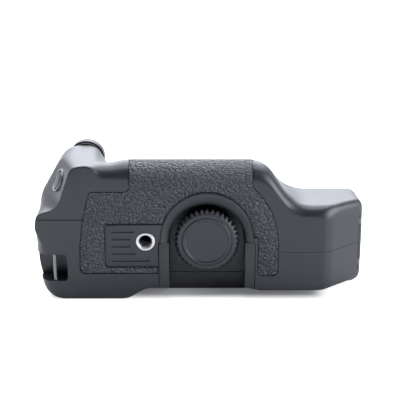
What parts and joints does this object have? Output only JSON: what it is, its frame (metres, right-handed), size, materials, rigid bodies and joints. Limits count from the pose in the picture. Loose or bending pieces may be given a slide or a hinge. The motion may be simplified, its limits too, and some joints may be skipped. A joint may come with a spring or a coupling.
{
  "type": "camera battery grip",
  "caption": "Battery and vertical grip for a camera: hollow shells with a fastening knob and screw, tripod socket, shutter button, strap slot, plug and battery door.",
  "frame": {"origin": "axis of the camera screw on the mount face", "axes": "+Y out of the mount face into the camera, +Z towards the finger side, +X towards the battery door"},
  "size_m": [0.1531, 0.0484, 0.0665],
  "materials": {
    "shell": "fine matte moulded texture",
    "rubber": "leather grain",
    "trim": "satin moulded",
    "plug": "gloss",
    "steel": "turned and brushed",
    "chrome": "bright plated",
    "plate": "fine black paint",
    "seal": "smooth",
    "inner": "plain moulded",
    "board": "solder mask",
    "chip": "plain moulded",
    "contact": "plated",
    "pack": "plain moulded"
  },
  "bodies": {
    "body": {"front_shell": "shell", "rear_shell": "shell", "grip_rubber": "rubber", "thumb_rubber": "rubber", "socket_pad": "trim", "tripod_socket": "chrome", "knob_well": "trim", "screw_bush": "steel", "strap_bar": "steel", "shutter_bezel": "trim", "shutter_switch": "chip", "mount_plate": "plate", "mount_screws": "steel", "locating_pins": "steel", "plug_seal": "seal", "plug_body": "plug", "plug_contacts": "contact", "main_board": "board", "board_chips": "chip", "battery_sleeve": "inner", "battery_pack": "pack", "battery_contacts": "contact", "hinge_pin": "steel", "dial_axle": "steel", "dial_bracket": "inner", "button_board": "board", "button_switches": "chip"},
    "fastening_knob": {"knob": "trim", "knob_cap": "trim", "camera_screw": "steel", "screw_clip": "steel"},
    "shutter": {"shutter_button": "trim"},
    "thumb_dial": {"rear_dial": "trim"},
    "rear_button_a": {"button_a": "trim"},
    "rear_button_b": {"button_b": "trim"},
    "lever": {"power_lever": "trim"},
    "door": {"battery_door": "shell", "door_pad": "seal"},
    "latch": {"door_latch": "trim"}
  },
  "joints": [
    {"name": "knob_turn", "type": "hinge", "parent": "body", "child": "fastening_knob", "pos_m": [0, 0, 0], "axis": [0, 1, 0], "continuous": true},
    {"name": "shutter_press", "type": "slide", "parent": "body", "child": "shutter", "axis": [0.8609, 0.3201, -0.3955], "range_m": [0, 0.001], "stiffness_N_per_m": 800},
    {"name": "dial_turn", "type": "hinge", "parent": "body", "child": "thumb_dial", "pos_m": [-0.058, -0.009, -0.0195], "axis": [0, 1, 0], "continuous": true},
    {"name": "button_a_press", "type": "slide", "parent": "body", "child": "rear_button_a", "axis": [0, 0, 1], "range_m": [0, 0.0008], "stiffness_N_per_m": 800},
    {"name": "button_b_press", "type": "slide", "parent": "body", "child": "rear_button_b", "axis": [0, 0, 1], "range_m": [0, 0.0008], "stiffness_N_per_m": 800},
    {"name": "lever_turn", "type": "hinge", "parent": "body", "child": "lever", "pos_m": [-0.043, -0.009, -0.0255], "axis": [0, 0, 1], "range_deg": [0, 40]},
    {"name": "door_swing", "type": "hinge", "parent": "body", "child": "door", "pos_m": [0.0717, -0.0233, -0.005], "axis": [0, 0, -1], "range_deg": [0, 100]},
    {"name": "latch_slide", "type": "slide", "parent": "door", "child": "latch", "axis": [0, 1, 0], "range_m": [0, 0.0016]}
  ]
}
